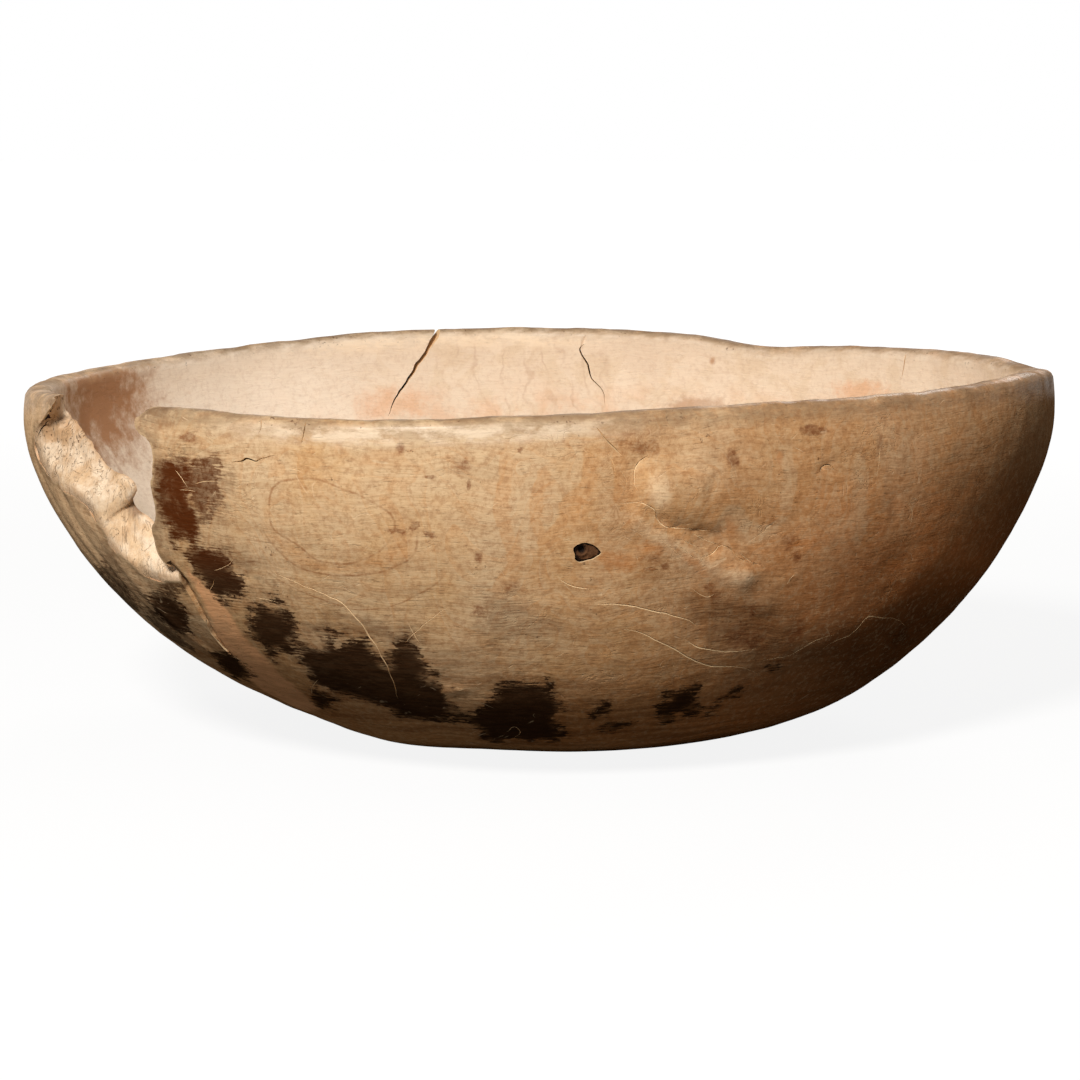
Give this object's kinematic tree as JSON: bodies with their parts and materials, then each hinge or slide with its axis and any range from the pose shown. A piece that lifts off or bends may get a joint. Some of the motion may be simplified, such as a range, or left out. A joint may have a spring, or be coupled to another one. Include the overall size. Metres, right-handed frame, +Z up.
{
  "type": "root bowl",
  "caption": "Oval hand-hewn burl bowl with a flat foot, thick curved walls, a broken rim at one end and drying splits.",
  "frame": {"origin": "middle of the bounding box at the level of the foot, where the bowl stands", "axes": "+X along the bowl to its sound end, -Y to the side with the knot and the broken corner, +Z up"},
  "size_m": [0.4762, 0.3906, 0.1698],
  "materials": {
    "bowl_wood": "hand-worn, dry waxed burl",
    "knot_wood": "dry dark knot wood"
  },
  "bodies": {
    "root": {"bowl": "bowl_wood", "dead_knot": "knot_wood"}
  },
  "joints": []
}
